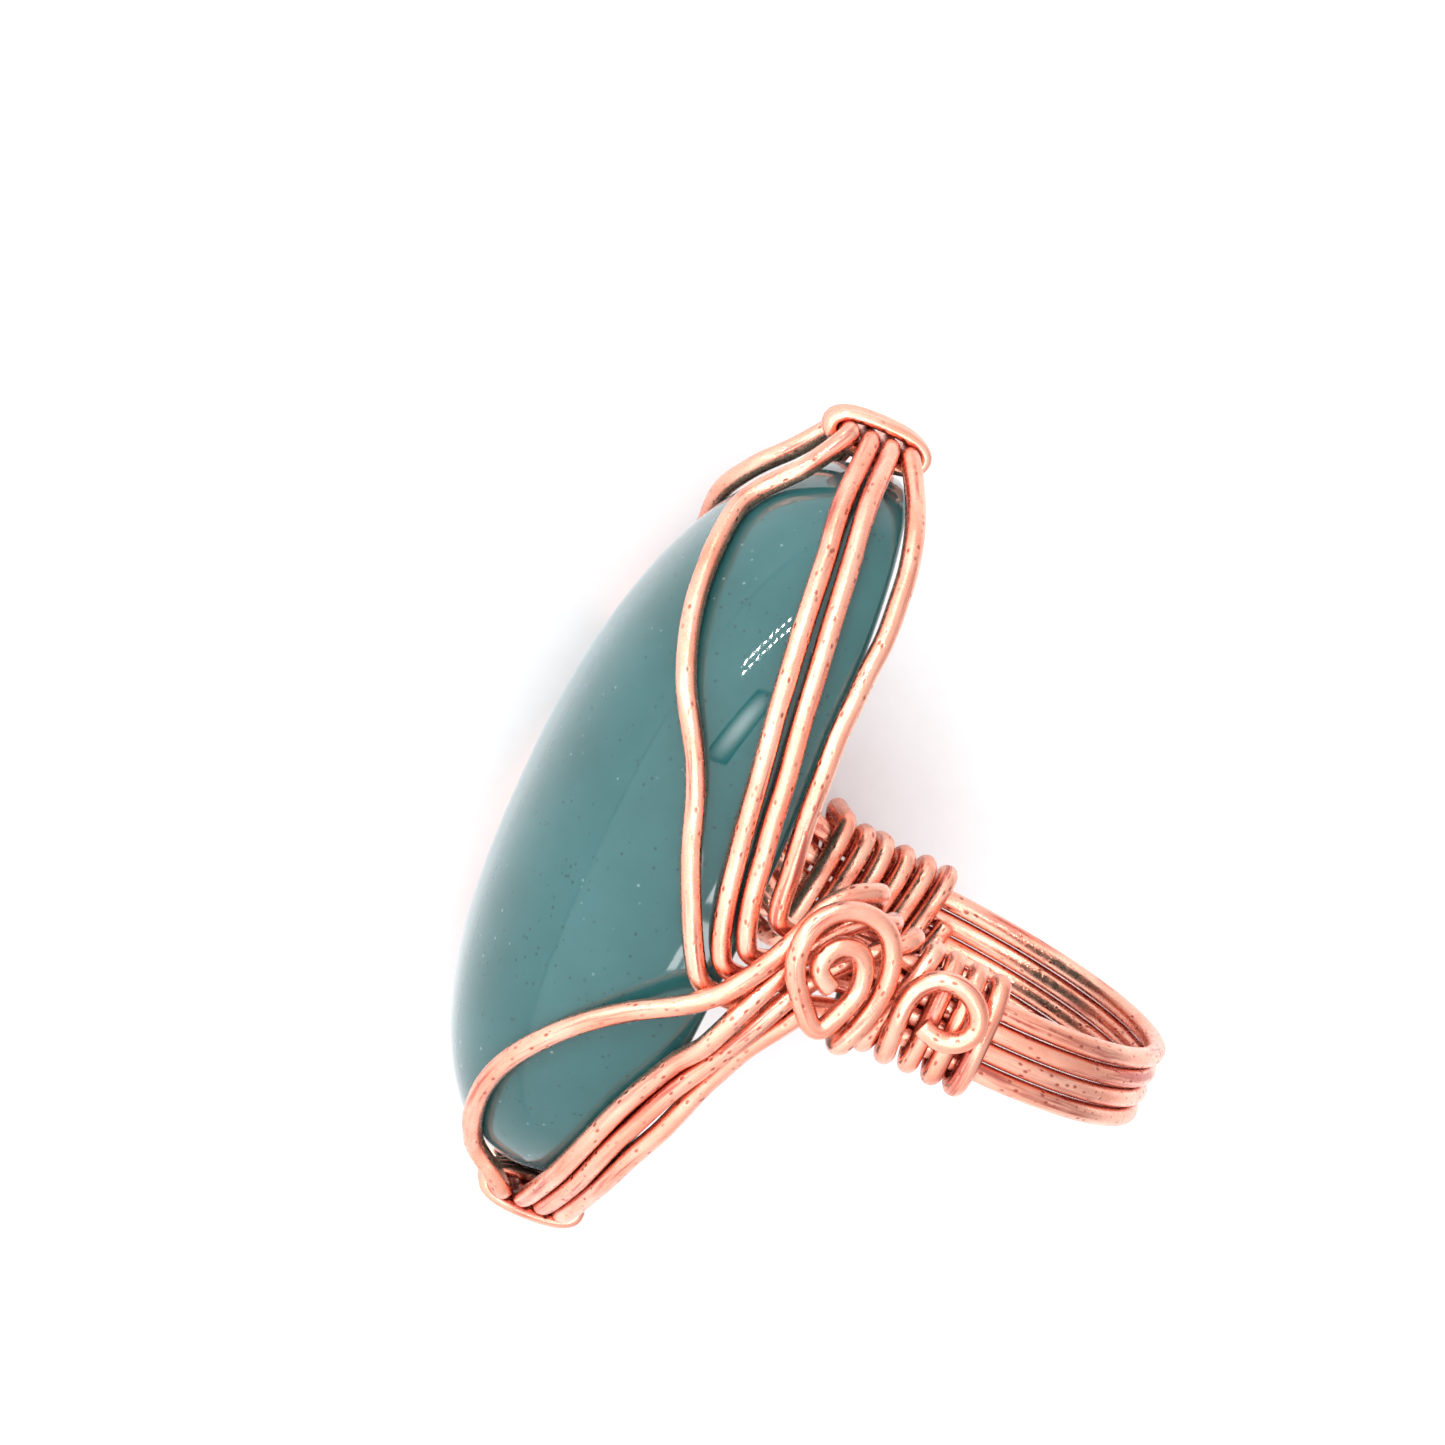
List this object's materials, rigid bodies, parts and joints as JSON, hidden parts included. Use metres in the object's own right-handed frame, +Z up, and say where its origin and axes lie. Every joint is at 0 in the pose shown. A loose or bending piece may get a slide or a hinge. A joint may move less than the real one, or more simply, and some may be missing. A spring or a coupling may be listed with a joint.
{
  "type": "wire-wrapped cabochon ring",
  "caption": "Ring of four copper wires wrapped round an oval teal cabochon, with a spiral and a curl on each shoulder.",
  "frame": {"origin": "middle of the bounding box's bottom, on the surface that the ring lies on", "axes": "+Y along the finger and the stone's length, towards the upper tip; +X away from the stone towards the shank; +Z up, out of the near shoulder"},
  "size_m": [0.032, 0.0406, 0.0276],
  "materials": {
    "copper": "polished, lightly drawn",
    "stone": "polished"
  },
  "bodies": {
    "root": {"cabochon": "stone", "long_wire_1": "copper", "long_wire_2": "copper", "long_wire_3": "copper", "long_wire_4": "copper", "upper_binding": "copper", "lower_binding": "copper"}
  },
  "joints": []
}
